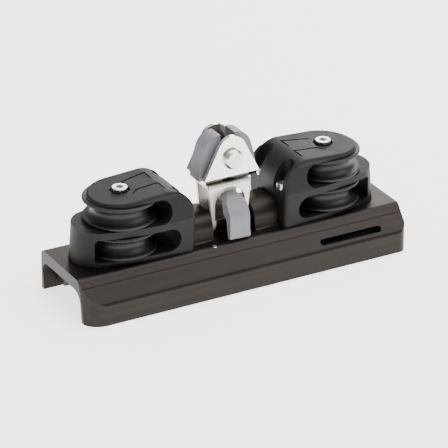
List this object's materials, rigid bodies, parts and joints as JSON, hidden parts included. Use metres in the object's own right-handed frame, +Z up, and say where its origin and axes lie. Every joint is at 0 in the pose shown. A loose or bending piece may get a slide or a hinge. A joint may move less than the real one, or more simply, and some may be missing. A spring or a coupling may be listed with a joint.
{
  "type": "mainsheet traveller car",
  "caption": "Recirculating-ball track car with a two-sheave block at each end and a tilting, swivelling stainless toggle between them.",
  "frame": {"origin": "middle of the underside of the car's two skirts", "axes": "+X along the track, +Y across it, +Z up, away from the track"},
  "size_m": [0.228, 0.0742, 0.0945],
  "materials": {
    "car_anodised": "hard anodised, dark warm grey, satin",
    "block_composite": "moulded glass-filled nylon, charcoal, fine texture",
    "sheave_composite": "moulded and turned, black, satin",
    "bearing_acetal": "off-white acetal",
    "race_plastic": "black acetal",
    "stainless_polished": "polished stainless steel",
    "stainless_satin": "satin stainless steel",
    "washer_acetal": "black acetal",
    "grey_plastic": "mid grey, lightly textured"
  },
  "bodies": {
    "car": {"car_body": "car_anodised", "ball_race_near": "race_plastic", "ball_race_far": "race_plastic", "bearing_balls_near": "bearing_acetal", "bearing_balls_far": "bearing_acetal", "race_screws": "stainless_satin", "port_screws": "stainless_satin", "block_left": "block_composite", "block_right": "block_composite", "block_screws": "stainless_satin", "axle_sleeve_left": "stainless_satin", "axle_sleeve_right": "stainless_satin", "axle_screws": "stainless_satin", "hinge_pin": "stainless_satin", "tongue": "grey_plastic", "tongue_screw": "stainless_satin"},
    "toggle": {"toggle_stirrup": "stainless_polished", "hinge_bush": "washer_acetal", "swivel_rivet": "stainless_polished", "swivel_washer": "washer_acetal"},
    "fork": {"toggle_fork": "stainless_polished", "fork_pad_left": "grey_plastic", "fork_pad_right": "grey_plastic", "clevis_pin": "stainless_polished", "clevis_ring": "stainless_polished"},
    "sheave_left_lower": {"sheave_left_lower": "sheave_composite", "sheave_bush_left_lower": "bearing_acetal"},
    "sheave_left_upper": {"sheave_left_upper": "sheave_composite", "sheave_bush_left_upper": "bearing_acetal"},
    "sheave_right_lower": {"sheave_right_lower": "sheave_composite", "sheave_bush_right_lower": "bearing_acetal"},
    "sheave_right_upper": {"sheave_right_upper": "sheave_composite", "sheave_bush_right_upper": "bearing_acetal"}
  },
  "joints": [
    {"name": "toggle_tilt", "type": "hinge", "parent": "car", "child": "toggle", "pos_m": [0, 0, 0.036], "axis": [1, 0, 0], "range_deg": [-25, 10]},
    {"name": "fork_swivel", "type": "hinge", "parent": "toggle", "child": "fork", "pos_m": [0, 0, 0.0625], "axis": [0, 0, 1], "continuous": true},
    {"name": "sheave_left_lower_spin", "type": "hinge", "parent": "car", "child": "sheave_left_lower", "pos_m": [-0.0721, 0, 0.0394], "axis": [0, 0, 1], "continuous": true},
    {"name": "sheave_left_upper_spin", "type": "hinge", "parent": "car", "child": "sheave_left_upper", "pos_m": [-0.0721, 0, 0.0596], "axis": [0, 0, 1], "continuous": true},
    {"name": "sheave_right_lower_spin", "type": "hinge", "parent": "car", "child": "sheave_right_lower", "pos_m": [0.0721, 0, 0.0394], "axis": [0, 0, 1], "continuous": true},
    {"name": "sheave_right_upper_spin", "type": "hinge", "parent": "car", "child": "sheave_right_upper", "pos_m": [0.0721, 0, 0.0596], "axis": [0, 0, 1], "continuous": true}
  ]
}
